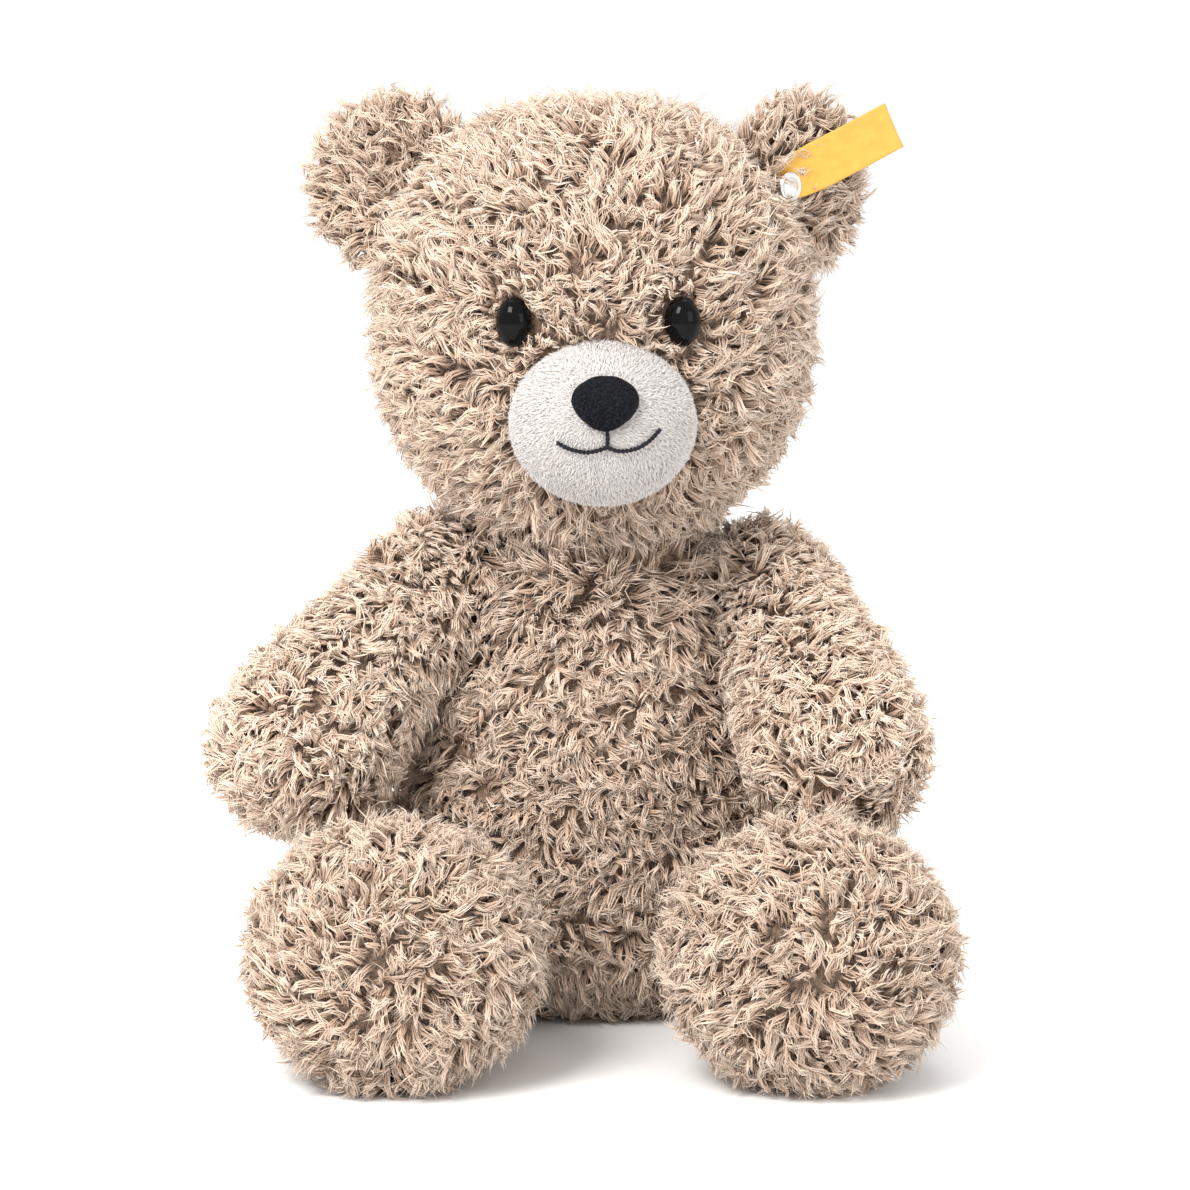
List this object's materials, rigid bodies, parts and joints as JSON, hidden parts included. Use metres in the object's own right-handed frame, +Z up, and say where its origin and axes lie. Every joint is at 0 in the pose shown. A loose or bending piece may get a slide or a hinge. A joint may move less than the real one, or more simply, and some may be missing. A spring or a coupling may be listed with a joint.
{
  "type": "jointed teddy bear",
  "caption": "Seated jointed teddy bear in curly light-brown plush, with a white muzzle, glossy oval eyes, a plain ear button and a plain ribbon tag.",
  "frame": {"origin": "the flat seat midway between the hips, on the surface that the bear sits on", "axes": "+Z up, -Y the way the bear faces, +X to the bear's own left"},
  "size_m": [0.2145, 0.1867, 0.2744],
  "materials": {
    "brown_plush": "curly plush pile, light brown",
    "muzzle_plush": "short off-white pile",
    "filling": "polyester fibre filling",
    "nose_flock": "matte dark navy stitched cloth",
    "mouth_thread": "dark embroidery thread",
    "eye_gloss": "glossy black",
    "joint_plastic": "moulded white plastic",
    "button_metal": "satin nickel-coloured metal",
    "tag_ribbon": "woven golden yellow ribbon, plain"
  },
  "bodies": {
    "torso": {"torso_cover_left": "brown_plush", "torso_cover_right": "brown_plush", "torso_stuffing": "filling", "neck_stationary_disc": "joint_plastic", "right_shoulder_stationary_disc": "joint_plastic", "left_shoulder_stationary_disc": "joint_plastic", "right_hip_stationary_disc": "joint_plastic", "left_hip_stationary_disc": "joint_plastic"},
    "head": {"head_cover_left": "brown_plush", "head_cover_right": "brown_plush", "head_gusset": "brown_plush", "head_stuffing": "filling", "muzzle_cover": "muzzle_plush", "muzzle_stuffing": "filling", "nose": "nose_flock", "mouth_thread": "mouth_thread", "right_eye": "eye_gloss", "left_eye": "eye_gloss", "right_eye_washer": "joint_plastic", "left_eye_washer": "joint_plastic", "right_ear_front": "brown_plush", "right_ear_back": "brown_plush", "left_ear_front": "brown_plush", "left_ear_back": "brown_plush", "ear_button": "button_metal", "ear_button_back": "button_metal", "ear_tag": "tag_ribbon", "neck_shank_disc": "joint_plastic", "neck_lock_washer": "joint_plastic"},
    "right_arm": {"right_arm_cover_outer": "brown_plush", "right_arm_cover_inner": "brown_plush", "right_arm_stuffing": "filling", "right_arm_shank_disc": "joint_plastic", "right_arm_lock_washer": "joint_plastic"},
    "left_arm": {"left_arm_cover_outer": "brown_plush", "left_arm_cover_inner": "brown_plush", "left_arm_stuffing": "filling", "left_arm_shank_disc": "joint_plastic", "left_arm_lock_washer": "joint_plastic"},
    "right_leg": {"right_leg_cover_outer": "brown_plush", "right_leg_cover_inner": "brown_plush", "right_leg_sole": "brown_plush", "right_leg_stuffing": "filling", "right_leg_shank_disc": "joint_plastic", "right_leg_lock_washer": "joint_plastic"},
    "left_leg": {"left_leg_cover_outer": "brown_plush", "left_leg_cover_inner": "brown_plush", "left_leg_sole": "brown_plush", "left_leg_stuffing": "filling", "left_leg_shank_disc": "joint_plastic", "left_leg_lock_washer": "joint_plastic"}
  },
  "joints": [
    {"name": "neck_turn", "type": "hinge", "parent": "torso", "child": "head", "pos_m": [-0.002, 0, 0.1412], "axis": [0, 0, 1], "continuous": true},
    {"name": "right_shoulder", "type": "hinge", "parent": "torso", "child": "right_arm", "pos_m": [-0.035, 0, 0.12], "axis": [-0.8387, 0, 0.5446], "range_deg": [-110, 45]},
    {"name": "left_shoulder", "type": "hinge", "parent": "torso", "child": "left_arm", "pos_m": [0.035, 0, 0.12], "axis": [-0.9563, 0, -0.2924], "range_deg": [-3, 45]},
    {"name": "right_hip", "type": "hinge", "parent": "torso", "child": "right_leg", "pos_m": [-0.042, -0.005, 0.027], "axis": [-1, 0, 0], "range_deg": [-100, 4]},
    {"name": "left_hip", "type": "hinge", "parent": "torso", "child": "left_leg", "pos_m": [0.042, -0.005, 0.027], "axis": [-1, 0, 0], "range_deg": [-100, 0]}
  ]
}
